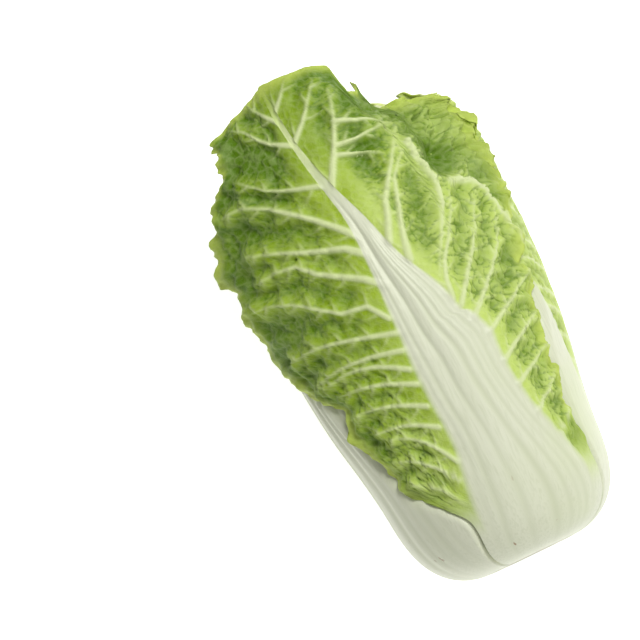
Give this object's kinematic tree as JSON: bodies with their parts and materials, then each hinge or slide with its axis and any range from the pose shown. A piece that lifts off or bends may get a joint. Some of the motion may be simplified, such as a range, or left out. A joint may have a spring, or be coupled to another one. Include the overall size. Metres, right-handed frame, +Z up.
{
  "type": "napa cabbage",
  "caption": "Whole napa cabbage head lying on its side, with broad white ribs, waved green blades with raised veins, a dense heart and a cut stem end.",
  "frame": {"origin": "on the surface that the head lies on, under the middle of its box", "axes": "+Z up, +Y along the head from the cut stem end to the leafy end, +X to the right when seen from the stem end"},
  "size_m": [0.1778, 0.302, 0.1488],
  "materials": {
    "stem_flesh": "matt cut flesh, off-white, with a tan rim",
    "wrapper_leaf": "satin leaf, green blade and off-white rib",
    "inner_leaf": "satin leaf, pale yellow-green with a white rib"
  },
  "bodies": {
    "root": {"stem": "stem_flesh", "leaf_front": "wrapper_leaf", "leaf_under": "wrapper_leaf", "leaf_left": "wrapper_leaf", "leaf_right": "wrapper_leaf", "leaf_inner_1": "inner_leaf", "leaf_inner_2": "inner_leaf", "leaf_inner_3": "inner_leaf", "heart": "inner_leaf"}
  },
  "joints": []
}
